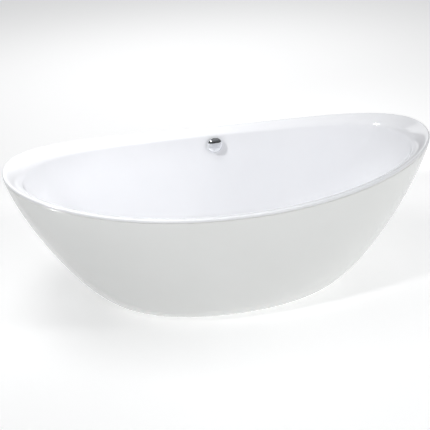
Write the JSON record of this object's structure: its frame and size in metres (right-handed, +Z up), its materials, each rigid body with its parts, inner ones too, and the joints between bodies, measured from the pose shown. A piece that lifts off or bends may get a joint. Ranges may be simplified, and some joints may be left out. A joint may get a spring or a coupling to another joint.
{
  "type": "freestanding bathtub",
  "caption": "Oval freestanding bathtub with raised ends, acrylic basin inside a flared skirt, levelling feet, and a pop-up waste worked by the round overflow knob.",
  "frame": {"origin": "on the floor under the middle of the tub", "axes": "+X along the tub's length, +Y towards the side with the overflow, +Z up"},
  "size_m": [1.7, 0.75, 0.673],
  "materials": {
    "basin_acrylic": "gloss sanitary acrylic",
    "skirt_acrylic": "gloss sanitary acrylic",
    "bond_bead": "satin",
    "board": "resin-sealed particle board",
    "frame_steel": "galvanised",
    "zinc_steel": "zinc plated",
    "chrome": "polished",
    "rubber": "matt",
    "white_plastic": "moulded",
    "hose_plastic": "ribbed flexible",
    "cable_sheath": "extruded",
    "dark_plastic": "moulded"
  },
  "bodies": {
    "tub": {"basin": "basin_acrylic", "outer_skirt": "skirt_acrylic", "rim_bond_bead": "bond_bead", "base_board": "board", "rail_front": "frame_steel", "rail_back": "frame_steel", "crossbar_left": "frame_steel", "crossbar_right": "frame_steel", "frame_screw_1": "zinc_steel", "frame_screw_2": "zinc_steel", "frame_screw_3": "zinc_steel", "frame_screw_4": "zinc_steel", "skirt_bracket_1": "frame_steel", "skirt_bracket_2": "frame_steel", "skirt_bracket_3": "frame_steel", "skirt_bracket_4": "frame_steel", "bracket_screw_1": "zinc_steel", "bracket_screw_2": "zinc_steel", "bracket_screw_3": "zinc_steel", "bracket_screw_4": "zinc_steel", "weld_nut_1": "zinc_steel", "weld_nut_2": "zinc_steel", "weld_nut_3": "zinc_steel", "weld_nut_4": "zinc_steel", "lock_nut_1": "zinc_steel", "lock_nut_2": "zinc_steel", "lock_nut_3": "zinc_steel", "lock_nut_4": "zinc_steel", "drain_flange": "chrome", "drain_gasket_upper": "rubber", "drain_gasket_lower": "rubber", "waste_body": "white_plastic", "lever_pin": "zinc_steel", "trap_body": "white_plastic", "trap_nut": "white_plastic", "outlet_pipe": "white_plastic", "overflow_rosette": "chrome", "overflow_gasket": "rubber", "overflow_housing": "white_plastic", "overflow_hose": "hose_plastic", "hose_nut_upper": "dark_plastic", "hose_nut_lower": "dark_plastic", "control_cable": "cable_sheath"},
    "knob": {"overflow_knob": "chrome", "knob_spindle": "zinc_steel", "cable_crank": "dark_plastic"},
    "plug": {"drain_plug": "chrome", "plug_stem": "zinc_steel", "plug_seal": "rubber"},
    "lever": {"lifter_lever": "dark_plastic"},
    "foot_1": {"foot_pad_1": "dark_plastic", "foot_stud_1": "zinc_steel"},
    "foot_2": {"foot_pad_2": "dark_plastic", "foot_stud_2": "zinc_steel"},
    "foot_3": {"foot_pad_3": "dark_plastic", "foot_stud_3": "zinc_steel"},
    "foot_4": {"foot_pad_4": "dark_plastic", "foot_stud_4": "zinc_steel"}
  },
  "joints": [
    {"name": "knob_turn", "type": "hinge", "parent": "tub", "child": "knob", "pos_m": [0.014, 0.32628, 0.515], "axis": [0, -0.9985, 0.0549], "range_deg": [0, 90]},
    {"name": "plug_lift", "type": "slide", "parent": "tub", "child": "plug", "axis": [0, 0, 1], "range_m": [0, 0.0108]},
    {"name": "lever_swing", "type": "hinge", "parent": "tub", "child": "lever", "pos_m": [-0.015, 0, 0.0964], "axis": [0, -1, 0], "range_deg": [0, 42.5]},
    {"name": "foot_1_height", "type": "slide", "parent": "tub", "child": "foot_1", "axis": [0, 0, 1], "range_m": [-0.01, 0.004]},
    {"name": "foot_2_height", "type": "slide", "parent": "tub", "child": "foot_2", "axis": [0, 0, 1], "range_m": [-0.01, 0.004]},
    {"name": "foot_3_height", "type": "slide", "parent": "tub", "child": "foot_3", "axis": [0, 0, 1], "range_m": [-0.01, 0.004]},
    {"name": "foot_4_height", "type": "slide", "parent": "tub", "child": "foot_4", "axis": [0, 0, 1], "range_m": [-0.01, 0.004]}
  ],
  "couplings": [
    {"joint": "plug_lift", "follows": "knob_turn", "m_per_rad": 0.006844},
    {"joint": "lever_swing", "follows": "knob_turn", "ratio": 0.46667}
  ]
}
